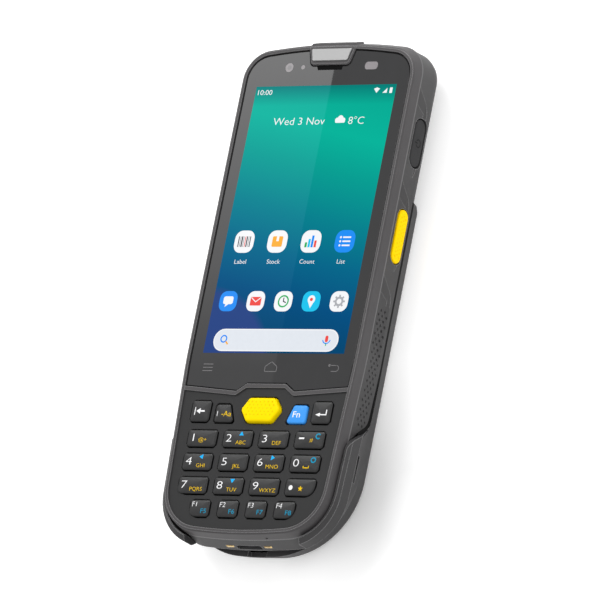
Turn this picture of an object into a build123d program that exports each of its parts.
from build123d import *
from math import radians, sin
import os

# Handheld barcode data terminal, lying on its back. Millimetres.
# +X is the terminal's right, +Y points to the scanner end, +Z points out of the screen.
# The origin is the middle of the footprint, on the surface that the back rests on.

# ---- display: the lengths of the rest are set off from its two ends ---------------------
display_y = 22.2          # centre of the lit area
display_width = 51.84
display_height = 86.4
display_border = 1.9
display_driver_ledge = 4.4
display_thickness = 2.9
display_top_y = display_y + display_height / 2
display_foot_y = display_y - display_height / 2

# ---- heights, from the back up ---------------------------------------------------------
glass_z = 19.6            # top face of the touch glass
rim_rise = 0.35           # the rim stands this much above the glass
parting_z = 16.0          # front and rear housing meet here
seam_z = 6.9              # rear housing and battery cover meet here
upper_back_z = 4.2        # outer back face of the slim upper half
bay_floor_z = 10.2        # the battery bay reaches in this far
floor_thickness = 1.0     # plate between battery and mainboard
seam_gap = 0.3            # visible joint between parts that come apart
part_clearance = 0.1      # fixed small parts in their pockets

# ---- plan outline of the front, measured at the rim -------------------------------------
side_margin = 5.78        # lit area to the outline at the sides
top_margin = 13.3         # lit area to the top end
keypad_length = 57.3      # lit area to the bottom end
side_taper = 2.3          # the sides draw in this much down to the bottom edge
rim_half_width = display_width / 2 + side_margin
front_top_y = display_top_y + top_margin
front_bottom_y = display_foot_y - keypad_length
waist_y = display_foot_y - 2.8      # the sides taper below this line
chin_half_width = rim_half_width - side_taper
end_bow = 2.75            # rise of the bowed top edge
chin_bow = 2.35           # rise of the bowed bottom edge
top_corner_radius = 9.4
chin_corner_radius = 14.5
waist_radius = 150.0

# ---- front housing ----------------------------------------------------------------------
rim_chamfer = 0.5
rim_inset = 1.35          # rim's outer edge to the inside of the rim
front_flare = 0.55        # side walls stand this much wider at the parting line
front_crown = 1.15        # the top wall leans out further than the sides
front_chin = 0.2          # and the bottom wall this much
panel_z = 19.5            # keypad panel surface
panel_thickness = 1.0
boss_wall = 2.6           # outline to inner cavity wall

# ---- glass ------------------------------------------------------------------------------
glass_thickness = 1.1
glass_inset = 1.75
glass_gap = 0.3

# ---- keypad -----------------------------------------------------------------------------
key_top_z = 20.1
scan_key_top_z = 20.85
key_gap = 0.3             # clearance round each cap
key_travel = 0.6
flange_width = 0.6
flange_thickness = 0.7
key_edge = 0.35           # rounding of a cap's top edge
key_pitch_x = 13.13
key_pitch_y = 7.45
key_width = 10.7
key_height = 5.4
digit_row_y = display_foot_y - 27.4      # first digit row
top_row_y = digit_row_y + 8.6
function_row_y = digit_row_y - 22.1
function_pitch_x = 10.35
function_width = 7.3

# ---- side controls ----------------------------------------------------------------------
trigger_z = 11.1          # centre height of the scan triggers
power_z = 10.7            # and of the power key and volume rocker
side_gap = 0.3
side_travel = 0.6
scan_trigger_y = display_top_y - 46.2
scan_trigger_length = 17.1
scan_trigger_width = 5.1
power_key_y = display_top_y - 16.1
power_key_length = 15.4
power_key_width = 5.8
volume_length = 20.0
pocket_x = rim_half_width - boss_wall    # inner face of the side wall behind the side keys

# ---- battery and cover --------------------------------------------------------------------
battery_side_room = 6.0   # battery to the outline
battery_width = 2 * (rim_half_width - battery_side_room)
battery_length = 64.0
battery_height = 8.6
battery_y = -6.8
battery_top_y = battery_y + battery_length / 2
bay_clearance = 0.3
cover_wall = 1.9
cover_floor = 1.2
cover_top_y = battery_top_y + 6.3   # upper end of the thick part
boot_top_z = 17.5         # front edge of the wrapped corners
boot_flare = 2.8          # the corners bulge this much beyond the outline
boot_low_y = front_bottom_y + 38.5  # the corner edge leaves the seam here
boot_rise = 8.5           # and reaches its full height this much further down
port_half_width = chin_half_width - 9.0   # half width of the open stretch at the port
cover_lip_z = 7.4         # front edge of the cover below the port


def body_outline(grow=0.0, crown=0.0, chin=0.0, widen=0.0, soften=0.0):
    """Plan outline of the terminal, grown all round.

    Crown and chin push the two ends out further, widen takes back some of the taper of the
    sides, and soften adds to the radius of the lower corners.
    """
    side = rim_half_width + grow
    chin_side = chin_half_width + grow + widen
    top = front_top_y + grow + crown
    bottom = front_bottom_y - grow - chin
    with BuildSketch() as outline:
        with BuildLine():
            ThreePointArc((-side, top - end_bow), (0, top), (side, top - end_bow))
            Polyline((side, top - end_bow), (side, waist_y), (chin_side, bottom + chin_bow))
            ThreePointArc((chin_side, bottom + chin_bow), (0, bottom), (-chin_side, bottom + chin_bow))
            Polyline((-chin_side, bottom + chin_bow), (-side, waist_y), (-side, top - end_bow))
        make_face()
        fillet(outline.vertices().group_by(Axis.Y)[-1], top_corner_radius + grow)
        fillet(outline.vertices().group_by(Axis.Y)[0], chin_corner_radius + grow + soften)
        waist = outline.vertices().filter_by_position(Axis.Y, waist_y - 0.01, waist_y + 0.01)
        fillet(waist, waist_radius)
    return outline.sketch


def body_loft(*sections):
    """Solid through outlines from the lowest to the highest, each its z and then its shape."""
    with BuildPart() as body:
        for z, *shape in sections:
            with BuildSketch(Plane.XY.offset(z)):
                add(body_outline(*shape))
        loft(ruled=True)
    return body.part


def box_between(low, high):
    """Plain block between two corners."""
    centre = [(a + b) / 2 for a, b in zip(low, high)]
    lengths = [b - a for a, b in zip(low, high)]
    with BuildPart() as block:
        with Locations(tuple(centre)):
            Box(*lengths)
    return block.part


flats = 12                # small round features are drawn with this many flats


def small_round(radius):
    """Plan outline of a small round feature."""
    with BuildSketch() as shape:
        RegularPolygon(radius, flats)
    return shape.sketch


def cut_rectangle(width, height, corner):
    """Rectangle with its corners cut at 45 degrees."""
    with BuildSketch() as shape:
        Rectangle(width, height)
        chamfer(shape.vertices(), corner)
    return shape.sketch


def save(piece, name):
    """Label a finished piece and write it as one STEP file."""
    piece.part.label = name
    export_step(piece.part, f"parts/{name}.step")


os.makedirs("parts", exist_ok=True)

rim_z = glass_z + rim_rise
far = 120.0               # beyond the terminal on every side
cavity_grow = -boss_wall
mainboard_top_z = 14.0
inner_floor_z = bay_floor_z + floor_thickness
display_low_y = display_foot_y - display_driver_ledge
display_high_y = display_top_y + display_border
display_half_width = display_width / 2 + display_border
glass_seat_z = glass_z - glass_thickness

# =======================================================================================
# Zigzag bar between the glass and the keypad, drawn once as a band and reused
# =======================================================================================
bar_height = 1.3
bar_end_y = display_foot_y - 9.9
bar_low_y = bar_end_y - 2.3
bar_peak_y = bar_end_y + 0.1
bar_low_x = 10.6
bar_peak_x = 7.1
bar_z = 19.9
bar_reach = 40.0          # past the rim on both sides
bar_corner = 0.6
bar_root = 0.2            # the ends run into the rim by this much


def bar_edge(drop):
    """The bar's upper edge, lowered by drop, from one side to the other."""
    return [
        (-bar_reach, bar_end_y - drop),
        (-bar_low_x, bar_low_y - drop),
        (-bar_peak_x, bar_peak_y - drop),
        (bar_peak_x, bar_peak_y - drop),
        (bar_low_x, bar_low_y - drop),
        (bar_reach, bar_end_y - drop),
    ]


def side_of_bar(drop, end_y):
    """Everything between the bar's upper edge, lowered by drop, and end_y."""
    with BuildSketch() as area:
        with BuildLine():
            Polyline(*bar_edge(drop), (bar_reach, end_y), (-bar_reach, end_y), close=True)
        make_face()
    return area.sketch


# =======================================================================================
# Nameplate bridge: the part of the frame that dips into the glass at the top
# =======================================================================================
bridge_top_y = display_top_y + 12.5
bridge_low_y = display_top_y + 6.6
bridge_top_half = 8.6
bridge_low_half = 7.0
bridge_z = 20.2
bridge_corner = 1.5
bridge_edge = 0.3
slot_half = 4.4           # earpiece slot at the bridge's lower edge
slot_low_y = bridge_low_y - 1.0


def bridge_shape(grow=0.0):
    """Trapezoid of the nameplate bridge, grown all round."""
    with BuildSketch() as shape:
        with BuildLine():
            Polyline(
                (-bridge_top_half, bridge_top_y),
                (-bridge_low_half, bridge_low_y),
                (bridge_low_half, bridge_low_y),
                (bridge_top_half, bridge_top_y),
                close=True,
            )
        make_face()
        fillet(shape.vertices().group_by(Axis.Y)[0], bridge_corner)
        if grow:
            offset(amount=grow)
    return shape.sketch


# =======================================================================================
# Key caps: name, plan shape and top height of each
# =======================================================================================
key_corner = 0.9          # cut of a cap's corners
outer_corner = 3.6
top_row_height = 7.0
backspace_height = 6.8
inner_row_height = 6.0
top_row_x = 22.2
top_row_width = 7.0
slant_near = 9.4
slant_far = 16.9
slant_shift = 2.2
slant_corner = 0.6
slant_y = top_row_y - 0.5
scan_key_y = top_row_y + 0.6
scan_key_half_width = 7.45
scan_key_half_height = 4.05
scan_key_shoulder = 4.7
scan_key_corner = 0.5


def cap_shape(x, y, width, height, soft_corner=0):
    """Rounded cap outline; soft_corner -1 or 1 rounds the lower left or right corner more."""
    with BuildSketch() as shape:
        with Locations((x, y)):
            Rectangle(width, height)
        low = shape.vertices().group_by(Axis.Y)[0].sort_by(Axis.X)
        soft = [low[0]] if soft_corner < 0 else [low[-1]] if soft_corner > 0 else []
        if soft:
            fillet(soft, outer_corner)
        corners = shape.vertices().filter_by(
            lambda v: min(abs(v.X - x + width / 2), abs(v.X - x - width / 2)) < 0.01
            and min(abs(v.Y - y + height / 2), abs(v.Y - y - height / 2)) < 0.01
        )
        chamfer(corners, key_corner)
    return shape.sketch


def slanted_shape(side):
    """Cap beside the scan key, its inner edge cut at a slant; side is -1 for left, 1 for right."""
    with BuildSketch() as shape:
        with BuildLine():
            Polyline(
                (side * slant_near, slant_y - inner_row_height / 2),
                (side * slant_far, slant_y - inner_row_height / 2),
                (side * slant_far, slant_y + inner_row_height / 2),
                (side * (slant_near + slant_shift), slant_y + inner_row_height / 2),
                close=True,
            )
        make_face()
        chamfer(shape.vertices(), slant_corner)
    return shape.sketch


def scan_key_shape():
    """Long hexagon of the front scan key."""
    with BuildSketch() as shape:
        with Locations((0, scan_key_y)):
            Polygon(
                (-scan_key_half_width, 0),
                (-scan_key_shoulder, -scan_key_half_height),
                (scan_key_shoulder, -scan_key_half_height),
                (scan_key_half_width, 0),
                (scan_key_shoulder, scan_key_half_height),
                (-scan_key_shoulder, scan_key_half_height),
                align=None,
            )
        chamfer(shape.vertices(), scan_key_corner)
    return shape.sketch


keys = {
    "key_backspace": cap_shape(-top_row_x, top_row_y, top_row_width, backspace_height),
    "key_letter_case": slanted_shape(-1),
    "key_scan": scan_key_shape(),
    "key_function": slanted_shape(1),
    "key_enter": cap_shape(top_row_x, top_row_y, top_row_width, top_row_height),
}
digit_names = [
    ["key_1", "key_2", "key_3", "key_minus"],
    ["key_4", "key_5", "key_6", "key_0"],
    ["key_7", "key_8", "key_9", "key_dot"],
]
for row, names in enumerate(digit_names):
    for column, name in enumerate(names):
        x = (column - 1.5) * key_pitch_x
        y = digit_row_y - row * key_pitch_y
        soft = {"key_7": -1, "key_dot": 1}.get(name, 0)
        keys[name] = cap_shape(x, y, key_width, key_height, soft)
for column in range(4):
    x = (column - 1.5) * function_pitch_x
    soft = {0: -1, 3: 1}.get(column, 0)
    keys[f"key_f{column + 1}"] = cap_shape(x, function_row_y, function_width, key_height, soft)


def grown(shape, amount):
    """A cap outline grown all round."""
    with BuildSketch() as wider:
        add(shape)
        offset(amount=amount, kind=Kind.INTERSECTION)
    return wider.sketch


# =======================================================================================
# Screws: two at the top corners, four under the battery cover
# =======================================================================================
screw_radius = 0.6
head_radius = 1.3
head_height = 1.0
hole_slack = 0.1
screw_tip_z = 17.3
tip_clearance = 0.2
thread_depth = 1.0        # the holes start this much below the parting line
top_screw_x = rim_half_width - 9.2
top_screw_y = front_top_y - 7.2
flange_screw_x = rim_half_width - 1.7
flange_screw_high_y = battery_top_y + 4.4
flange_screw_low_y = battery_y - 14.2
top_screws = [(side * top_screw_x, top_screw_y) for side in (-1, 1)]
flange_screws = [
    (side * flange_screw_x, y) for y in (flange_screw_high_y, flange_screw_low_y) for side in (-1, 1)
]
top_head_z = upper_back_z + 0.5
flange_head_z = seam_z + seam_gap / 2 + 0.2


def screw_holes(positions, low_z, high_z, radius):
    """Round bodies or cutters for the screws between two heights."""
    with BuildPart() as holes:
        with BuildSketch(Plane.XY.offset(low_z)):
            with Locations(*positions):
                add(small_round(radius))
        extrude(amount=high_z - low_z)
    return holes.part


# =======================================================================================
# Front housing
# =======================================================================================
crest_half = 9.3
crest_rise = 0.5
crest_depth = 4.0
crest_base = 2 * crest_half + 2
crest_slope = 60
camera_x = -15.1
camera_y = display_top_y + 6.1
camera_radius = 2.4
sensor_x = -10.0
sensor_radius = 0.9
led_x = 15.2
led_y = camera_y + 0.1
led_length = 4.7
led_width = 2.5
led_corner = 0.8
pocket_floor_z = parting_z + 0.6
earpiece_length = 12.0
earpiece_width = 4.6
earpiece_y = bridge_low_y - 0.1
earpiece_top_z = glass_seat_z - 0.5
mic_x = 9.4
mic_z = 17.2
mic_seat_y = front_bottom_y + boss_wall
mic_radius = 1.0
mic_depth = 1.4
mic_hole_radius = 0.4
sound_slot_length = 7.8
sound_slot_width = 0.8

with BuildPart() as front_housing:
    add(body_loft((parting_z, front_flare, front_crown, front_chin), (glass_z, 0)))
    add(body_loft((glass_z, 0), (rim_z, -rim_chamfer)))
    # low crest on the top edge, above the nameplate
    with BuildSketch(Plane.XY.offset(parting_z)):
        with Locations((0, front_top_y + front_flare + front_crown + crest_rise)):
            Trapezoid(crest_base, crest_depth, crest_slope, align=(Align.CENTER, Align.MAX))
    with BuildSketch(Plane.XY.offset(glass_z)):
        with Locations((0, front_top_y + crest_rise)):
            Trapezoid(crest_base, crest_depth, crest_slope, align=(Align.CENTER, Align.MAX))
    loft(ruled=True)
    # pocket inside the rim, down to the keypad panel
    with BuildSketch(Plane.XY.offset(panel_z)):
        add(body_outline(-rim_inset))
    extrude(amount=rim_z - panel_z, mode=Mode.SUBTRACT)
    # deeper seat for the glass
    with BuildSketch(Plane.XY.offset(glass_seat_z)):
        add(side_of_bar(0, far))
        add(body_outline(-rim_inset), mode=Mode.INTERSECT)
    extrude(amount=rim_z - glass_seat_z, mode=Mode.SUBTRACT)
    # zigzag bar, run into the rim at both ends
    with BuildSketch(Plane.XY.offset(glass_seat_z)) as bar_sketch:
        with BuildLine():
            Polyline(*bar_edge(0), *reversed(bar_edge(bar_height)), close=True)
        make_face()
        fillet(bar_sketch.vertices().filter_by(lambda v: abs(v.X) < bar_low_x + 1), bar_corner)
        add(body_outline(-rim_inset + bar_root), mode=Mode.INTERSECT)
    extrude(amount=bar_z - glass_seat_z)
    # bridge that carries the nameplate
    with BuildSketch(Plane.XY.offset(glass_seat_z)):
        add(bridge_shape())
    extrude(amount=bridge_z - glass_seat_z)
    bridge_rim = front_housing.edges().filter_by_position(Axis.Z, bridge_z - 0.01, bridge_z + 0.01)
    chamfer(bridge_rim.filter_by(lambda e: e.center().Y < bridge_top_y - bridge_edge), bridge_edge)
    # window for the display and hollow under the keypad
    with BuildSketch(Plane.XY.offset(parting_z)):
        with Locations((0, (display_low_y + display_high_y) / 2)):
            Rectangle(
                2 * display_half_width + 2 * part_clearance,
                display_high_y - display_low_y + 2 * part_clearance,
            )
    extrude(amount=glass_seat_z - parting_z, mode=Mode.SUBTRACT)
    with BuildSketch(Plane.XY.offset(parting_z)):
        add(side_of_bar(bar_height, -far))
        add(body_outline(cavity_grow), mode=Mode.INTERSECT)
    extrude(amount=panel_z - panel_thickness - parting_z, mode=Mode.SUBTRACT)
    # key openings
    with BuildSketch(Plane.XY.offset(parting_z)):
        for shape in keys.values():
            add(grown(shape, key_gap))
    extrude(amount=panel_z - parting_z, mode=Mode.SUBTRACT)
    # seats of the earpiece, front camera, light sensor and LED light pipe
    with BuildSketch(Plane.XY.offset(pocket_floor_z)):
        with Locations((camera_x, camera_y)):
            add(small_round(camera_radius + part_clearance))
        with Locations((sensor_x, camera_y)):
            add(small_round(sensor_radius + part_clearance))
        with Locations((led_x, led_y)):
            add(cut_rectangle(led_length + 2 * part_clearance, led_width + 2 * part_clearance, led_corner))
    extrude(amount=glass_seat_z - pocket_floor_z, mode=Mode.SUBTRACT)
    with BuildSketch(Plane.XY.offset(parting_z)):
        with Locations((0, earpiece_y)):
            Rectangle(earpiece_length + 2 * part_clearance, earpiece_width + 2 * part_clearance)
    extrude(amount=earpiece_top_z - parting_z, mode=Mode.SUBTRACT)
    with BuildSketch(Plane.XY.offset(earpiece_top_z)):
        with Locations((0, (slot_low_y + bridge_low_y) / 2)):
            Rectangle(sound_slot_length, sound_slot_width)
    extrude(amount=glass_seat_z - earpiece_top_z, mode=Mode.SUBTRACT)
    # blind holes for the screws from the back, and the microphone's seat
    blind_top_z = screw_tip_z + tip_clearance
    blind_radius = screw_radius + hole_slack
    add(
        screw_holes(top_screws + flange_screws, parting_z - thread_depth, blind_top_z, blind_radius),
        mode=Mode.SUBTRACT,
    )
    with BuildSketch(Plane.XZ.offset(-mic_seat_y)):
        with Locations((mic_x, mic_z)):
            add(small_round(mic_radius + part_clearance))
    extrude(amount=mic_depth, both=True, mode=Mode.SUBTRACT)
    with BuildSketch(Plane.XZ.offset(-mic_seat_y)):
        with Locations((mic_x, mic_z)):
            add(small_round(mic_hole_radius))
    extrude(amount=2 * boss_wall, mode=Mode.SUBTRACT)
save(front_housing, "front_housing")

# =======================================================================================
# Touch glass, cut out round the nameplate bridge and the earpiece slot
# =======================================================================================
glass_edge = 0.15
slot_overlap = 0.4        # the slot runs on into the cut-out round the bridge

with BuildPart() as touch_glass:
    with BuildSketch(Plane.XY.offset(glass_seat_z)):
        add(body_outline(-glass_inset))
        add(side_of_bar(-glass_gap, far), mode=Mode.INTERSECT)
        add(bridge_shape(glass_gap), mode=Mode.SUBTRACT)
        with Locations((0, (slot_low_y + bridge_low_y) / 2)):
            Rectangle(2 * slot_half, bridge_low_y - slot_low_y + 2 * slot_overlap, mode=Mode.SUBTRACT)
    extrude(amount=glass_thickness)
    chamfer(touch_glass.faces().sort_by(Axis.Z)[-1].outer_wire().edges(), glass_edge)
save(touch_glass, "touch_glass")

# =======================================================================================
# Display module, laminated under the glass, with its driver ledge at the lower end
# =======================================================================================
ledge_step = 1.2          # the driver ledge lies this much below the glass
ledge_lip = 1.0           # and its step starts this much nearer to its end

with BuildPart() as display_module:
    with BuildSketch(Plane.XY.offset(glass_seat_z - display_thickness)):
        with Locations((0, (display_low_y + display_high_y) / 2)):
            Rectangle(2 * display_half_width, display_high_y - display_low_y)
    extrude(amount=display_thickness)
    with BuildSketch(Plane.XY.offset(glass_seat_z - ledge_step)):
        with Locations((0, display_low_y)):
            Rectangle(2 * display_half_width, 2 * (display_driver_ledge - ledge_lip))
    extrude(amount=ledge_step, mode=Mode.SUBTRACT)
save(display_module, "display_module")

# =======================================================================================
# Nameplate, earpiece, mesh and the small optical parts behind the glass
# =======================================================================================
plate_half_top = 7.4
plate_half_low = 6.4
plate_top_y = bridge_top_y - 0.8
plate_low_y = bridge_low_y + 1.2
plate_thickness = 0.35
plate_corner = 0.3
plate_edge = 0.12

with BuildPart() as nameplate:
    with BuildSketch(Plane.XY.offset(bridge_z)) as plate_sketch:
        with BuildLine():
            Polyline(
                (-plate_half_top, plate_top_y),
                (-plate_half_low, plate_low_y),
                (plate_half_low, plate_low_y),
                (plate_half_top, plate_top_y),
                close=True,
            )
        make_face()
        chamfer(plate_sketch.vertices(), plate_corner)
    extrude(amount=plate_thickness)
    chamfer(nameplate.faces().sort_by(Axis.Z)[-1].edges(), plate_edge)
save(nameplate, "nameplate")

earpiece_height = 1.8
earpiece_rim = 0.8
earpiece_dish = 0.3
with BuildPart() as earpiece:
    with BuildSketch(Plane.XY.offset(earpiece_top_z - earpiece_height)):
        with Locations((0, earpiece_y)):
            Rectangle(earpiece_length, earpiece_width)
    extrude(amount=earpiece_height)
    with BuildSketch(Plane.XY.offset(earpiece_top_z - earpiece_dish)):
        with Locations((0, earpiece_y)):
            Rectangle(earpiece_length - 2 * earpiece_rim, earpiece_width - 2 * earpiece_rim)
    extrude(amount=earpiece_dish, mode=Mode.SUBTRACT)
save(earpiece, "earpiece")

mesh_thickness = 0.2
with BuildPart() as earpiece_mesh:
    with BuildSketch(Plane.XY.offset(glass_seat_z)):
        with Locations((0, (slot_low_y + bridge_low_y) / 2)):
            Rectangle(2 * (slot_half - part_clearance), bridge_low_y - slot_low_y - part_clearance)
    extrude(amount=mesh_thickness)
save(earpiece_mesh, "earpiece_mesh")

camera_height = glass_seat_z - pocket_floor_z
camera_step = 0.3
camera_lens_seat = 1.8
lens_cone_low = 0.4
lens_cone_high = 1.2
lens_cone_depth = 0.5
with BuildPart() as front_camera:
    with BuildSketch(Plane.XY.offset(pocket_floor_z)):
        with Locations((camera_x, camera_y)):
            add(small_round(camera_radius))
    extrude(amount=camera_height - camera_step)
    with BuildSketch(Plane.XY.offset(glass_seat_z - camera_step)):
        with Locations((camera_x, camera_y)):
            add(small_round(camera_lens_seat))
    extrude(amount=camera_step)
    with Locations((camera_x, camera_y, glass_seat_z)):
        Cone(
            lens_cone_low,
            lens_cone_high,
            lens_cone_depth,
            align=(Align.CENTER, Align.CENTER, Align.MAX),
            mode=Mode.SUBTRACT,
        )
save(front_camera, "front_camera")

with BuildPart() as light_sensor:
    with BuildSketch(Plane.XY.offset(pocket_floor_z)):
        with Locations((sensor_x, camera_y)):
            add(small_round(sensor_radius))
    extrude(amount=camera_height)
save(light_sensor, "light_sensor")

with BuildPart() as led_light_pipe:
    with BuildSketch(Plane.XY.offset(pocket_floor_z)):
        with Locations((led_x, led_y)):
            add(cut_rectangle(led_length, led_width, led_corner))
    extrude(amount=camera_height)
save(led_light_pipe, "led_light_pipe")

# =======================================================================================
# Keys: a cap that stands through the panel on a wider flange, and a stud for its dome
# =======================================================================================
flange_rest_gap = 0.2     # flange to the underside of the panel
flange_top_z = panel_z - panel_thickness - flange_rest_gap
flange_low_z = flange_top_z - flange_thickness
scan_bevel = 0.7

for name, shape in keys.items():
    top_z = scan_key_top_z if name == "key_scan" else key_top_z
    edge = scan_bevel if name == "key_scan" else key_edge
    with BuildPart() as key:
        with BuildSketch(Plane.XY.offset(flange_top_z)):
            add(shape)
        extrude(amount=top_z - flange_top_z)
        chamfer(key.faces().sort_by(Axis.Z)[-1].edges(), edge)
        with BuildSketch(Plane.XY.offset(flange_low_z)):
            add(grown(shape, flange_width))
        extrude(amount=flange_thickness)
    save(key, name)

# =======================================================================================
# Keypad sheet with a dome under each key, and the board below it
# =======================================================================================
frame_top_z = glass_seat_z - display_thickness
keypad_board_thickness = 0.8
sheet_thickness = 0.4
dome_gap = 0.05           # left between dome and flange when a key is down
dome_foot_z = frame_top_z + keypad_board_thickness + sheet_thickness
dome_height = flange_low_z - key_travel - dome_gap - dome_foot_z
dome_width = 3.6
keypad_high_y = top_row_y + top_row_height / 2 + 1.3
keypad_grow = cavity_grow - 0.5
pad_height = 0.4
pad_length = 38.0
pad_width = 9.0
pad_rows = [digit_row_y, (function_row_y + digit_row_y - 2 * key_pitch_y) / 2]


def keypad_outline():
    """Plan outline of the keypad board and of the sheet on it."""
    with BuildSketch() as outline:
        add(body_outline(keypad_grow))
        with Locations((0, keypad_high_y)):
            Rectangle(2 * far, 2 * far, align=(Align.CENTER, Align.MAX), mode=Mode.INTERSECT)
    return outline.sketch


with BuildPart() as keypad_board:
    with BuildSketch(Plane.XY.offset(frame_top_z + pad_height)):
        add(keypad_outline())
    extrude(amount=keypad_board_thickness - pad_height)
    with BuildSketch(Plane.XY.offset(frame_top_z)):
        with Locations(*[(0, y) for y in pad_rows]):
            Rectangle(pad_length, pad_width)
    extrude(amount=pad_height)
save(keypad_board, "keypad_board")

sheet_z = frame_top_z + keypad_board_thickness
with BuildPart() as keypad_sheet:
    with BuildSketch(Plane.XY.offset(sheet_z)):
        add(keypad_outline())
    extrude(amount=sheet_thickness)
    centres = [shape.bounding_box().center() for shape in keys.values()]
    with BuildSketch(Plane.XY.offset(sheet_z + sheet_thickness)):
        with Locations(*[(centre.X, centre.Y) for centre in centres]):
            Rectangle(dome_width, dome_width)
    extrude(amount=dome_height)
save(keypad_sheet, "keypad_sheet")

# =======================================================================================
# Mid frame: stiffening plate under the display, with posts that carry the mainboard
# =======================================================================================
frame_thickness = 1.0
frame_low_z = frame_top_z - frame_thickness
frame_grow = cavity_grow - 0.3
side_pocket_half = 10.2
side_pocket_depth = 10.0
side_key_rows = [scan_trigger_y, power_key_y]
switch_x = pocket_x - 2.2           # inner side of the pockets behind the side keys
inner_half_width = switch_x - 0.3   # keeps clear of the side switches
frame_windows = [display_y - 52.2, display_y - 8.2, display_y + 23.8]
frame_window_length = 30.0
frame_window_width = 16.0
screw_window = 3.6
rib_height = 0.35
rib_width = 1.0
rib_y = display_y - 14.2
long_rib_x = 18.0
long_rib_length = 90.0
cross_ribs = [display_y - 33.2, display_y + 7.8]
post_width = 3.6
post_x = switch_x - 5.9
post_rows = [front_bottom_y + 20.3, display_foot_y + 17.0, display_top_y - 3.4]
side_pocket_x = inner_half_width + side_pocket_depth / 2

with BuildPart() as mid_frame:
    with BuildSketch(Plane.XY.offset(frame_low_z)):
        add(body_outline(frame_grow))
        with Locations(*[(side * side_pocket_x, y) for side in (-1, 1) for y in side_key_rows]):
            Rectangle(side_pocket_depth, 2 * side_pocket_half, mode=Mode.SUBTRACT)
        with Locations(*top_screws):
            Rectangle(screw_window, screw_window, mode=Mode.SUBTRACT)
        with Locations(*[(0, y) for y in frame_windows]):
            Rectangle(frame_window_length, frame_window_width, mode=Mode.SUBTRACT)
    extrude(amount=frame_thickness)
    with BuildSketch(Plane.XY.offset(mainboard_top_z)):
        with Locations(*[(side * post_x, y) for side in (-1, 1) for y in post_rows]):
            Rectangle(post_width, post_width)
    extrude(amount=frame_low_z - mainboard_top_z)
    with BuildSketch(Plane.XY.offset(frame_low_z - rib_height)):
        with Locations(*[(0, y) for y in cross_ribs]):
            Rectangle(2 * long_rib_x + rib_width, rib_width)
        with Locations((-long_rib_x, rib_y), (long_rib_x, rib_y)):
            Rectangle(rib_width, long_rib_length)
    extrude(amount=rib_height)
save(mid_frame, "mid_frame")

# =======================================================================================
# Mainboard and the shield cans on its back
# =======================================================================================
board_thickness = 1.0
board_low_z = mainboard_top_z - board_thickness
board_half_width = switch_x - 1.5
board_low_y = front_bottom_y + 8.3
board_grow = cavity_grow - 1.5
window_seat_y = front_top_y + 0.1
engine_high_y = window_seat_y - 4.4
engine_length = 12.9
engine_low_y = engine_high_y - engine_length
board_high_y = engine_low_y - 1.0
upper_cavity_low_y = cover_top_y + 3.0
motor_y = upper_cavity_low_y + 5.9
rear_camera_y = motor_y + 9.6
can_height = 1.4
can_edge = 0.25
cans = [                  # centre, width and length of each
    (-12.0, rear_camera_y - 5.5, 21.0, 16.0),
    (11.0, rear_camera_y - 4.5, 18.0, 14.0),
    (0.0, battery_y + 10.8, 30.0, 22.0),
    (-8.0, display_foot_y - 15.0, 24.0, 18.0),
]

with BuildPart() as mainboard:
    with BuildSketch(Plane.XY.offset(board_low_z)):
        with Locations((0, (board_low_y + board_high_y) / 2)):
            Rectangle(2 * board_half_width, board_high_y - board_low_y)
        add(body_outline(board_grow), mode=Mode.INTERSECT)
    extrude(amount=board_thickness)
save(mainboard, "mainboard")

with BuildPart() as shield_cans:
    for x, y, width, height in cans:
        with BuildSketch(Plane.XY.offset(board_low_z - can_height)):
            with Locations((x, y)):
                Rectangle(width, height)
        extrude(amount=can_height)
    chamfer(shield_cans.faces().group_by(Axis.Z)[0].edges(), can_edge)
save(shield_cans, "shield_cans")

# =======================================================================================
# Rear housing: slim upper half with a rounded back, side walls with three scoops each,
# a narrower tail inside the cover's corners, and the land of the charging port
# =======================================================================================
rear_flare = 0.45
rear_top_crown = front_crown - 0.1
rear_low_grow = -0.25
rear_mid_z = 9.0
rear_mid_grow = 0.1
rear_mid_crown = 2.0
rear_low_crown = 1.3
back_edge_radius = 4.4
lip_chin = 3.25           # the lower edge of the cover stands this far beyond the rim
low_widen = 1.96          # the cover's foot tapers less than the rim
low_soften = 12.0         # and its corners are rounder
tail_low_grow = -2.3
tail_low_chin = lip_chin
tail_top_chin = 0.1
tail_lead = 6.0           # the tail starts this far above the corner edge
land_low_z = 10.5
land_chin = 1.75
land_top_chin = 0.3
land_depth = 11.0
scoop_depth = 0.35
scoop_lead = 4.2
scoop_length = 29.0
scoop_pitch = 30.1
scoop_tops = [display_top_y - step * scoop_pitch for step in range(3)]
scoop_low_z = 8.4
scoop_slope_z = 10.8      # the slanted lower border ends here
scoop_skew = 2.4          # the border runs down the wall at a slant
scoop_floor_length = 20.3
scoop_out = 0.5           # the cutter starts outside the wall by this much
upper_cavity_z = 5.8
upper_cavity_grow = -3.6

pocket_reach = 10.4       # the pockets run past the middle of the side keys by this much
pocket_low_y = scan_trigger_y - pocket_reach
pocket_high_y = power_key_y + pocket_reach
pocket_low_z = 7.95
power_pocket_low_z = 7.1
side_openings = {
    -1: [
        (scan_trigger_y, trigger_z, scan_trigger_length, scan_trigger_width),
        (power_key_y, power_z, volume_length, power_key_width),
    ],
    1: [
        (scan_trigger_y, trigger_z, scan_trigger_length, scan_trigger_width),
        (power_key_y, power_z, power_key_length, power_key_width),
    ],
}
opening_depth = 6.0       # more than the side wall
window_z = 10.6
window_width = 25.0
window_height = 7.6
window_ledge = 0.9
window_thickness = 1.0
window_corner = 1.0
window_room = 6.0         # cut outward and inward from the window's seat
rear_camera_x = -14.0
camera_lens_radius = 5.0
camera_nose_radius = 3.6
lens_depth = 0.8
lens_sink = 0.1           # lens windows lie this much below the back
flash_x = -4.0
flash_radius = 2.2
speaker_x = 13.5
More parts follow.
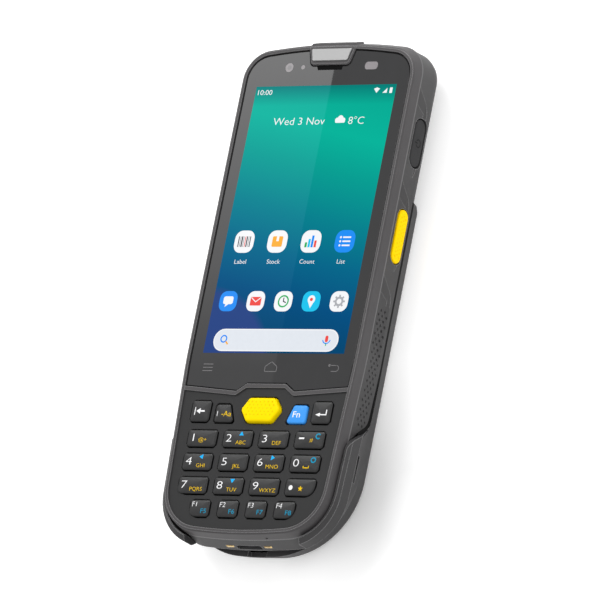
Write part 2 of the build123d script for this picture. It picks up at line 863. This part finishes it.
speaker_y = rear_camera_y - 0.5
speaker_slots = 6
speaker_slot_pitch = 2.2
speaker_slot_width = 1.0
speaker_slot_length = 8.0
contact_block_width = 16.0
contact_back_y = battery_top_y + 2.8
contact_top_z = 9.8
seal_y = battery_y + 1.4
seal_width = battery_width + 4.2
seal_length = battery_length + 7.6
seal_band = 1.0
seal_depth = 0.4
seal_proud = 0.2          # the seal stands out of its groove
seal_corner = 2.0
connector_width = 8.94
connector_height = 1.9
connector_z = 11.95
connector_depth = 6.8
connector_inset = 0.5     # the shell's mouth lies inside the opening
dock_x = 6.9
dock_z = 12.3
dock_width = 2.7
dock_height = 0.9
port_cut = 10.0           # half depth of the openings in the land
boss_ring = 1.2           # wall round a screw head

rear_seam_z = seam_z + seam_gap / 2
cover_seam_z = seam_z - seam_gap / 2


def seal_ring(grow=0.0):
    """Plan ring of the bay seal, widened on both sides."""
    inner_width = seal_width - 2 * seal_band - 2 * grow
    inner_length = seal_length - 2 * seal_band - 2 * grow
    with BuildSketch() as ring:
        add(cut_rectangle(seal_width + 2 * grow, seal_length + 2 * grow, seal_corner))
        add(cut_rectangle(inner_width, inner_length, seal_corner - seal_band / 2), mode=Mode.SUBTRACT)
    return ring.sketch


boot_high_y = boot_low_y - boot_rise
boot_bend = 5.0           # rounding of the corner edge at both ends of its slant
cover_ramp = [(6.2, 0.0), (2.2, 1.1), (0.0, upper_back_z)]   # upper end of the cover, from the back up


def cover_view():
    """Side view of the battery cover, with the rising edge of its wrapped corners."""
    with BuildSketch() as view:
        with BuildLine():
            Polyline(
                *[(cover_top_y - back, z) for back, z in cover_ramp],
                (cover_top_y, cover_seam_z),
                (boot_low_y, cover_seam_z),
                (boot_high_y, boot_top_z),
                (-far, boot_top_z),
                (-far, 0),
                close=True,
            )
        make_face()
        fillet(view.vertices().sort_by_distance((boot_low_y, cover_seam_z))[0], boot_bend)
        fillet(view.vertices().sort_by_distance((boot_high_y, boot_top_z))[0], boot_bend)
    return view.sketch


def scoop_outline(side, top_y, depth):
    """Plan outline of the cutter of one scoop, to this depth below the side wall."""
    wall = rim_half_width + rear_mid_grow
    with BuildSketch() as outline:
        with BuildLine():
            Polyline(
                (side * (wall + scoop_out), top_y + scoop_lead / 3),
                (side * (wall - depth), top_y - scoop_lead),
                (side * (wall - depth), top_y - scoop_floor_length),
                (side * (wall + scoop_out), top_y - scoop_length),
                close=True,
            )
        make_face()
    return outline.sketch


def scoop_cutter(side, top_y):
    """Cutter of one scoop, with a slanted lower border."""
    with BuildPart() as cutter:
        with BuildSketch(Plane.XY.offset(scoop_low_z)):
            add(scoop_outline(side, top_y - scoop_skew, -scoop_out / 2))
        with BuildSketch(Plane.XY.offset(scoop_slope_z)):
            add(scoop_outline(side, top_y - scoop_skew, scoop_depth))
        with BuildSketch(Plane.XY.offset(parting_z)):
            add(scoop_outline(side, top_y, scoop_depth))
        loft(ruled=True)
    return cutter.part


with BuildPart() as port_land:
    add(body_loft((land_low_z, rear_flare, 0, land_chin), (parting_z, rear_flare, 0, land_top_chin)))
    with BuildSketch(Plane.XY.offset(land_low_z)):
        with Locations((0, front_bottom_y)):
            Rectangle(2 * port_half_width, 2 * land_depth)
    extrude(amount=parting_z - land_low_z, mode=Mode.INTERSECT)

with BuildPart() as rear_housing:
    add(
        body_loft(
            (upper_back_z, rear_low_grow, rear_low_crown),
            (rear_mid_z, rear_mid_grow, rear_mid_crown),
            (parting_z, rear_flare, rear_top_crown, front_chin),
        )
    )
    fillet(rear_housing.faces().sort_by(Axis.Z)[0].edges(), back_edge_radius)
    # room for the battery cover
    with BuildSketch(Plane.YZ):
        add(cover_view())
        offset(amount=seam_gap, kind=Kind.INTERSECTION)
    extrude(amount=far, both=True, mode=Mode.SUBTRACT)
    # tail inside the wrapped corners
    tail = body_loft(
        (rear_seam_z, tail_low_grow, 0, tail_low_chin, low_widen, low_soften),
        (parting_z, rear_flare, 0, tail_top_chin),
    )
    add(tail & box_between((-far, -far, 0), (far, boot_low_y + tail_lead, parting_z)))
    add(port_land.part)
    # scoops along both sides
    for top_y in scoop_tops:
        for side in (-1, 1):
            add(scoop_cutter(side, top_y), mode=Mode.SUBTRACT)
    # hollow for the mid frame and mainboard, deeper in the upper half
    with BuildSketch(Plane.XY.offset(inner_floor_z)):
        add(body_outline(cavity_grow))
    extrude(amount=parting_z - inner_floor_z, mode=Mode.SUBTRACT)
    with BuildSketch(Plane.XY.offset(upper_cavity_z)):
        add(body_outline(upper_cavity_grow))
        with Locations((0, upper_cavity_low_y)):
            Rectangle(2 * far, 2 * far, align=(Align.CENTER, Align.MIN), mode=Mode.INTERSECT)
    extrude(amount=inner_floor_z - upper_cavity_z, mode=Mode.SUBTRACT)
    # battery bay
    with BuildSketch():
        with Locations((0, battery_y)):
            Rectangle(battery_width + 2 * bay_clearance, battery_length + 2 * bay_clearance)
    extrude(amount=bay_floor_z, mode=Mode.SUBTRACT)
    # pockets for the side switches, and the openings of the side keys
    for side in (-1, 1):
        near_x, far_x = sorted((side * switch_x, side * pocket_x))
        add(
            box_between((near_x, pocket_low_y, pocket_low_z), (far_x, pocket_high_y, parting_z)),
            mode=Mode.SUBTRACT,
        )
        add(
            box_between(
                (near_x, power_key_y - pocket_reach, power_pocket_low_z),
                (far_x, pocket_high_y, parting_z),
            ),
            mode=Mode.SUBTRACT,
        )
        for y, z, length, width in side_openings[side]:
            with BuildSketch(Plane.YZ.offset(side * (pocket_x - 1))):
                with Locations((y, z)):
                    SlotOverall(length + 2 * side_gap, width + 2 * side_gap)
            extrude(amount=side * opening_depth, mode=Mode.SUBTRACT)
    # scan window seat in the top end wall
    with BuildSketch(Plane.XZ.offset(-window_seat_y)):
        with Locations((0, window_z)):
            add(
                cut_rectangle(
                    window_width + 2 * part_clearance, window_height + 2 * part_clearance, window_corner
                )
            )
    extrude(amount=-window_room, mode=Mode.SUBTRACT)
    with BuildSketch(Plane.XZ.offset(-window_seat_y)):
        with Locations((0, window_z)):
            Rectangle(window_width - 2 * window_ledge, window_height - 2 * window_ledge)
    extrude(amount=window_room, mode=Mode.SUBTRACT)
    # bosses and holes for the screws
    add(screw_holes(top_screws, upper_cavity_z - 0.2, mainboard_top_z, head_radius + boss_ring))
    add(screw_holes(top_screws + flange_screws, 0, parting_z + 1, blind_radius), mode=Mode.SUBTRACT)
    add(screw_holes(top_screws, 0, top_head_z + head_height, head_radius + hole_slack), mode=Mode.SUBTRACT)
    add(
        screw_holes(flange_screws, 0, flange_head_z + head_height, head_radius + hole_slack),
        mode=Mode.SUBTRACT,
    )
    # rear camera window, flash window and loudspeaker slots
    with BuildSketch(Plane.XY.offset(upper_back_z)):
        with Locations((rear_camera_x, rear_camera_y)):
            Circle(camera_lens_radius + part_clearance)
    extrude(amount=lens_depth, mode=Mode.SUBTRACT)
    with BuildSketch(Plane.XY.offset(upper_back_z)):
        with Locations((rear_camera_x, rear_camera_y)):
            add(small_round(camera_nose_radius + part_clearance))
        with Locations((flash_x, rear_camera_y)):
            add(small_round(flash_radius + part_clearance))
    extrude(amount=upper_cavity_z - upper_back_z, mode=Mode.SUBTRACT)
    with Locations((speaker_x, speaker_y, upper_back_z)):
        with GridLocations(speaker_slot_pitch, 0, speaker_slots, 1):
            Box(
                speaker_slot_width,
                speaker_slot_length,
                2 * (upper_cavity_z - upper_back_z) + 1,
                mode=Mode.SUBTRACT,
            )
    # battery contact seat, and the groove of the bay seal
    seat_half = contact_block_width / 2 + part_clearance
    seat_back_y = contact_back_y + part_clearance
    add(
        box_between(
            (-seat_half, battery_top_y, 0),
            (seat_half, seat_back_y, contact_top_z + part_clearance),
        ),
        mode=Mode.SUBTRACT,
    )
    with BuildSketch(Plane.XY.offset(rear_seam_z - seam_gap)):
        with Locations((0, seal_y)):
            add(seal_ring(part_clearance))
    extrude(amount=seam_gap + seal_depth, mode=Mode.SUBTRACT)
    # charging connector and dock contacts in the port land
    with Locations((0, front_bottom_y, connector_z)):
        Box(
            connector_width + 2 * part_clearance,
            2 * port_cut,
            connector_height + 2 * part_clearance,
            mode=Mode.SUBTRACT,
        )
    with Locations((-dock_x, front_bottom_y, dock_z), (dock_x, front_bottom_y, dock_z)):
        Box(
            dock_width + 2 * part_clearance,
            2 * port_cut,
            dock_height + 2 * part_clearance,
            mode=Mode.SUBTRACT,
        )
save(rear_housing, "rear_housing")

# =======================================================================================
# Battery cover: thick lower back that wraps both lower corners up to the front rim
# =======================================================================================
cover_edge_radius = 4.0
low_grow = -2.1
low_chin = 3.65
lip_grow = 0.05
crease_z = 12.8           # the corners are widest here
crease_chin = 0.5
shoulder_z = 16.5         # above this they draw in to their front edge
shoulder_grow = 2.5
shoulder_chin = 0.8
front_edge_grow = 1.6
inner_grow = front_flare + seam_gap   # clear of the front housing
floor_wall = 1.3          # wall at the cover's floor
ramp_wall = 3.0           # wall at the cover's upper end
hollow_bend_z = 6.0       # the inside widens into the corners from here
port_side_gap = 0.6
port_cut_length = 40.0
notch_half_width = 3.45
notch_depth = 1.8
notch_length = 12.0
open_height = 20.0
pry_slot_y = boot_high_y - 6.45
pry_slot_z = 11.8
pry_slot_length = 8.5
pry_slot_width = 2.0
pry_slot_floor_x = rim_half_width + 0.2

with BuildPart() as battery_cover:
    add(
        body_loft(
            (0, low_grow, 0, low_chin, low_widen, low_soften),
            (cover_lip_z, lip_grow, 0, lip_chin, low_widen, low_soften),
            (crease_z, boot_flare, 0, crease_chin),
            (shoulder_z, shoulder_grow, 0, shoulder_chin),
            (boot_top_z, front_edge_grow),
        )
    )
    fillet(battery_cover.faces().sort_by(Axis.Z)[0].edges(), cover_edge_radius)
    with BuildSketch(Plane.YZ):
        add(cover_view())
    extrude(amount=far, both=True, mode=Mode.INTERSECT)
    # inside
    hollow = body_loft(
        (cover_floor, low_grow - floor_wall, 0, low_chin, low_widen, low_soften),
        (hollow_bend_z, lip_grow - cover_wall, 0, lip_chin, low_widen, low_soften),
        (crease_z, inner_grow, 0, crease_chin),
        (boot_top_z, inner_grow, 0, crease_chin),
    )
    add(
        hollow & box_between((-far, -far, 0), (far, cover_top_y - ramp_wall, far)),
        mode=Mode.SUBTRACT,
    )
    # open stretch at the charging port, with a notch for the thumb
    with BuildSketch(Plane.XY.offset(cover_lip_z)):
        with Locations((0, front_bottom_y)):
            Rectangle(2 * (port_half_width + port_side_gap), port_cut_length)
    extrude(amount=open_height, mode=Mode.SUBTRACT)
    with BuildSketch(Plane.XY.offset(cover_lip_z - notch_depth)):
        with Locations((0, front_bottom_y)):
            Rectangle(2 * notch_half_width, notch_length)
    extrude(amount=open_height, mode=Mode.SUBTRACT)
    # slots for prying the wrapped corners off
    for side in (-1, 1):
        with BuildSketch(Plane.YZ.offset(side * pry_slot_floor_x)):
            with Locations((pry_slot_y, pry_slot_z)):
                Rectangle(pry_slot_length, pry_slot_width)
        extrude(amount=side * 2 * cover_wall, mode=Mode.SUBTRACT)
save(battery_cover, "battery_cover")

# =======================================================================================
# Side keys: an oblong cap through the wall with a wider flange behind it
# =======================================================================================
trigger_face_x = rim_half_width + 0.4
power_face_x = rim_half_width - 0.1
side_flange = 0.5
side_flange_thickness = 0.8
side_edge = 0.5
rocker_flange_length = 6.0
flange_x = pocket_x - 0.2


def side_key(side, y, z, length, width, face_x, flange_length):
    """Side key on the right (side 1) or left (side -1) wall."""
    root_x = flange_x - side_flange_thickness / 2
    with BuildPart() as cap:
        with BuildSketch(Plane.YZ.offset(side * root_x)):
            with Locations((y, z)):
                SlotOverall(length, width)
        extrude(amount=side * (face_x - root_x))
        outer = cap.faces().sort_by(Axis.X)[-1 if side > 0 else 0]
        chamfer(outer.edges(), side_edge)
        with BuildSketch(Plane.YZ.offset(side * flange_x)):
            with Locations((y, z)):
                Rectangle(flange_length, width + 2 * side_flange)
        extrude(amount=-side * side_flange_thickness)
    return cap


trigger_flange = scan_trigger_length + 2 * side_flange
scan_trigger = {
    side: side_key(
        side,
        scan_trigger_y,
        trigger_z,
        scan_trigger_length,
        scan_trigger_width,
        trigger_face_x,
        trigger_flange,
    )
    for side in (-1, 1)
}
save(scan_trigger[1], "scan_trigger_right")
save(scan_trigger[-1], "scan_trigger_left")
power_flange = power_key_length + 2 * side_flange
power_key = side_key(
    1, power_key_y, power_z, power_key_length, power_key_width, power_face_x, power_flange
)
save(power_key, "power_key")
volume_rocker = side_key(
    -1, power_key_y, power_z, volume_length, power_key_width, power_face_x, rocker_flange_length
)
save(volume_rocker, "volume_rocker")

# =======================================================================================
# Switch boards behind the side keys
# =======================================================================================
switch_thickness = 0.4
switch_width = 3.4
switch_low_z = 8.4
switch_high_z = 14.3
board_end_gap = 0.3
switch_rest_gap = 0.1     # left between switch and key when the key is fully in
rocker_tilt = 2.5
rocker_switch_y = 7.0
press_switch_x = flange_x - side_flange_thickness - side_travel - switch_rest_gap
rocker_switch_x = (
    flange_x - side_flange_thickness / 2 - rocker_switch_y * sin(radians(rocker_tilt)) - switch_rest_gap
)
side_switches = {
    1: [(scan_trigger_y, trigger_z, press_switch_x), (power_key_y, power_z, press_switch_x)],
    -1: [
        (scan_trigger_y, trigger_z, press_switch_x),
        (power_key_y - rocker_switch_y, power_z, rocker_switch_x),
        (power_key_y + rocker_switch_y, power_z, rocker_switch_x),
    ],
}

for side, name in ((1, "switch_board_right"), (-1, "switch_board_left")):
    near_x, far_x = sorted((side * switch_x, side * (switch_x + switch_thickness)))
    with BuildPart() as switch_board:
        add(
            box_between(
                (near_x, pocket_low_y + board_end_gap, switch_low_z),
                (far_x, pocket_high_y - board_end_gap, switch_high_z),
            )
        )
        for y, z, reach_x in side_switches[side]:
            with BuildSketch(Plane.YZ.offset(side * switch_x)):
                with Locations((y, z)):
                    Rectangle(switch_width, switch_width)
            extrude(amount=side * (reach_x - switch_x))
    save(switch_board, name)

# =======================================================================================
# Scan engine behind its window in the top end
# =======================================================================================
engine_half_width = 10.5
engine_low_z = upper_cavity_z + 0.4
engine_high_z = 13.6
engine_edge = 0.6
foot_inset_x = 2.0        # centres of the two feet from the engine's sides
foot_inset_y = 4.0        # and from its back end
foot_width = 3.0
foot_length = 6.0
foot_height = 0.8
lens_barrel_x = 4.5
lens_barrel_radius = 2.6
lens_barrel_wall = 0.7
lens_barrel_length = 1.6
lens_barrel_bore = 1.0
foot_x = engine_half_width - foot_inset_x
foot_y = engine_low_y + foot_inset_y

with BuildPart() as scan_engine:
    add(
        box_between(
            (-engine_half_width, engine_low_y, engine_low_z),
            (engine_half_width, engine_high_y, engine_high_z),
        )
    )
    chamfer(scan_engine.edges().filter_by(Axis.Y), engine_edge)
    with Locations((-foot_x, foot_y, upper_cavity_z), (foot_x, foot_y, upper_cavity_z)):
        Box(foot_width, foot_length, foot_height, align=(Align.CENTER, Align.CENTER, Align.MIN))
    with BuildSketch(Plane.XZ.offset(-engine_high_y)):
        with Locations((-lens_barrel_x, window_z), (lens_barrel_x, window_z)):
            add(small_round(lens_barrel_radius))
    extrude(amount=-lens_barrel_length)
    with BuildSketch(Plane.XZ.offset(-engine_high_y - lens_barrel_length)):
        with Locations((-lens_barrel_x, window_z), (lens_barrel_x, window_z)):
            add(small_round(lens_barrel_radius - lens_barrel_wall))
    extrude(amount=lens_barrel_bore, mode=Mode.SUBTRACT)
save(scan_engine, "scan_engine")

with BuildPart() as scan_window:
    with BuildSketch(Plane.XZ.offset(-window_seat_y)):
        with Locations((0, window_z)):
            add(cut_rectangle(window_width, window_height, window_corner))
    extrude(amount=-window_thickness)
save(scan_window, "scan_window")

# =======================================================================================
# Rear camera, its lens window, the flash lens, the loudspeaker and its mesh
# =======================================================================================
camera_body = 9.0
camera_body_corner = 0.8
camera_body_height = 5.4
camera_cone_low = 2.4
camera_cone_high = 1.0
camera_cone_depth = 0.7
flash_depth = 1.2

with BuildPart() as rear_camera:
    with BuildSketch(Plane.XY.offset(upper_cavity_z)):
        with Locations((rear_camera_x, rear_camera_y)):
            add(cut_rectangle(camera_body, camera_body, camera_body_corner))
    extrude(amount=camera_body_height)
    with BuildSketch(Plane.XY.offset(upper_back_z + lens_depth)):
        with Locations((rear_camera_x, rear_camera_y)):
            add(small_round(camera_nose_radius))
    extrude(amount=upper_cavity_z - upper_back_z - lens_depth)
    with Locations((rear_camera_x, rear_camera_y, upper_back_z + lens_depth)):
        Cone(
            camera_cone_low,
            camera_cone_high,
            camera_cone_depth,
            align=(Align.CENTER, Align.CENTER, Align.MIN),
            mode=Mode.SUBTRACT,
        )
save(rear_camera, "rear_camera")

with BuildPart() as camera_lens:
    with Locations((rear_camera_x, rear_camera_y, upper_back_z + lens_sink)):
        Cylinder(camera_lens_radius, lens_depth - lens_sink, align=(Align.CENTER, Align.CENTER, Align.MIN))
save(camera_lens, "camera_lens")

with BuildPart() as flash_lens:
    with BuildSketch(Plane.XY.offset(upper_back_z + lens_sink)):
        with Locations((flash_x, rear_camera_y)):
            add(small_round(flash_radius))
    extrude(amount=upper_cavity_z - upper_back_z + flash_depth)
save(flash_lens, "flash_lens")

speaker_mesh_thickness = 0.25
speaker_mesh_width = 15.4
speaker_mesh_length = 10.4
speaker_width = 16.0
speaker_length = 11.0
speaker_corner = 1.5
speaker_height = 3.9
speaker_rim = 1.2
speaker_dish = 0.5
motor_radius = 4.2
motor_height = 2.8
motor_edge = 0.4

with BuildPart() as speaker_mesh:
    with Locations((speaker_x, speaker_y, upper_cavity_z)):
        Box(
            speaker_mesh_width,
            speaker_mesh_length,
            speaker_mesh_thickness,
            align=(Align.CENTER, Align.CENTER, Align.MIN),
        )
save(speaker_mesh, "speaker_mesh")

speaker_z = upper_cavity_z + speaker_mesh_thickness
with BuildPart() as speaker:
    with BuildSketch(Plane.XY.offset(speaker_z)):
        with Locations((speaker_x, speaker_y)):
            add(cut_rectangle(speaker_width, speaker_length, speaker_corner))
    extrude(amount=speaker_height)
    dish_width = speaker_width - 2 * speaker_rim
    dish_length = speaker_length - 2 * speaker_rim
    with BuildSketch(Plane.XY.offset(speaker_z)):
        with Locations((speaker_x, speaker_y)):
            add(cut_rectangle(dish_width, dish_length, speaker_corner - speaker_dish))
    extrude(amount=speaker_dish, mode=Mode.SUBTRACT)
save(speaker, "speaker")

with BuildPart() as vibration_motor:
    with BuildSketch(Plane.XY.offset(upper_cavity_z)):
        with Locations((0, motor_y)):
            add(small_round(motor_radius))
    extrude(amount=motor_height)
    chamfer(vibration_motor.faces().sort_by(Axis.Z)[-1].edges(), motor_edge)
save(vibration_motor, "vibration_motor")

# =======================================================================================
# Battery, its contacts and the seal round the bay
# =======================================================================================
battery_low_z = cover_floor + 0.2
battery_edge = 0.8
contact_gap = 0.4         # battery to the contact block, which the springs bridge
spring_pitch = 4.0
spring_count = 4
spring_width = 1.4
spring_height = 1.6

with BuildPart() as battery:
    with BuildSketch(Plane.XY.offset(battery_low_z)):
        with Locations((0, battery_y)):
            Rectangle(battery_width, battery_length)
    extrude(amount=battery_height)
    chamfer(battery.faces().sort_by(Axis.Z)[0].edges(), battery_edge)
save(battery, "battery")

contact_front_y = battery_top_y + contact_gap
with BuildPart() as battery_contacts:
    add(
        box_between(
            (-contact_block_width / 2, contact_front_y, rear_seam_z + part_clearance),
            (contact_block_width / 2, contact_back_y, contact_top_z),
        )
    )
    with Locations((0, contact_front_y, (rear_seam_z + contact_top_z) / 2)):
        with GridLocations(spring_pitch, 0, spring_count, 1):
            Box(
                spring_width,
                contact_gap,
                spring_height,
                align=(Align.CENTER, Align.MAX, Align.CENTER),
            )
save(battery_contacts, "battery_contacts")

with BuildPart() as bay_seal:
    with BuildSketch(Plane.XY.offset(rear_seam_z - seal_proud)):
        with Locations((0, seal_y)):
            add(seal_ring())
    extrude(amount=seal_depth + seal_proud)
save(bay_seal, "bay_seal")

# =======================================================================================
# Charging connector, dock contacts, microphone, card socket and screws
# =======================================================================================
land_slope = (land_chin - land_top_chin) / (parting_z - land_low_z)
land_front_y = front_bottom_y - rear_flare - land_top_chin - land_slope * (parting_z - connector_z)
connector_front_y = land_front_y + connector_inset
dock_front_y = front_bottom_y - rear_flare - land_top_chin - land_slope * (parting_z - dock_z)
connector_corner = 0.6
connector_wall = 0.3
connector_back = 1.0
tongue_width = 6.2
tongue_thickness = 0.5
tongue_inset = 0.6
dock_length = 5.0
dock_edge = 0.3
mouth_width = connector_width - 2 * connector_wall
mouth_height = connector_height - 2 * connector_wall

with BuildPart() as charging_connector:
    with BuildSketch(Plane.XZ.offset(-connector_front_y)):
        with Locations((0, connector_z)):
            add(cut_rectangle(connector_width, connector_height, connector_corner))
    extrude(amount=-connector_depth)
    with BuildSketch(Plane.XZ.offset(-connector_front_y)):
        with Locations((0, connector_z)):
            add(cut_rectangle(mouth_width, mouth_height, connector_corner - connector_wall / 2))
    extrude(amount=-connector_depth + connector_back, mode=Mode.SUBTRACT)
    with BuildSketch(Plane.XZ.offset(-connector_front_y - tongue_inset)):
        with Locations((0, connector_z)):
            Rectangle(tongue_width, tongue_thickness)
    extrude(amount=-connector_depth + tongue_inset)
save(charging_connector, "charging_connector")

with BuildPart() as dock_contacts:
    for side in (-1, 1):
        add(
            box_between(
                (side * dock_x - dock_width / 2, dock_front_y, dock_z - dock_height / 2),
                (side * dock_x + dock_width / 2, dock_front_y + dock_length, dock_z + dock_height / 2),
            )
        )
    chamfer(dock_contacts.edges().filter_by(Axis.Z), dock_edge)
save(dock_contacts, "dock_contacts")

with BuildPart() as microphone:
    with BuildSketch(Plane.XZ.offset(-mic_seat_y)):
        with Locations((mic_x, mic_z)):
            add(small_round(mic_radius))
    extrude(amount=mic_depth - part_clearance)
save(microphone, "microphone")

card_x = 8.0
card_y = front_bottom_y + 20.3
card_width = 16.0
card_length = 14.0
card_height = 1.3
card_slot_width = 12.0
card_slot_height = 0.7

with BuildPart() as card_socket:
    with Locations((card_x, card_y, board_low_z)):
        Box(card_width, card_length, card_height, align=(Align.CENTER, Align.CENTER, Align.MAX))
        Box(
            card_slot_width,
            card_length,
            card_slot_height,
            align=(Align.CENTER, Align.CENTER, Align.MAX),
            mode=Mode.SUBTRACT,
        )
save(card_socket, "card_socket")

cross_length = 1.6
cross_width = 0.4
cross_depth = 0.4
with BuildPart() as housing_screws:
    add(screw_holes(top_screws, top_head_z, top_head_z + head_height, head_radius))
    add(screw_holes(flange_screws, flange_head_z, flange_head_z + head_height, head_radius))
    add(screw_holes(top_screws, top_head_z + head_height, screw_tip_z, screw_radius))
    add(screw_holes(flange_screws, flange_head_z + head_height, screw_tip_z, screw_radius))
    for x, y in top_screws:
        with Locations((x, y, top_head_z)):
            Box(cross_length, cross_width, 2 * cross_depth, mode=Mode.SUBTRACT)
            Box(cross_width, cross_length, 2 * cross_depth, mode=Mode.SUBTRACT)
save(housing_screws, "housing_screws")
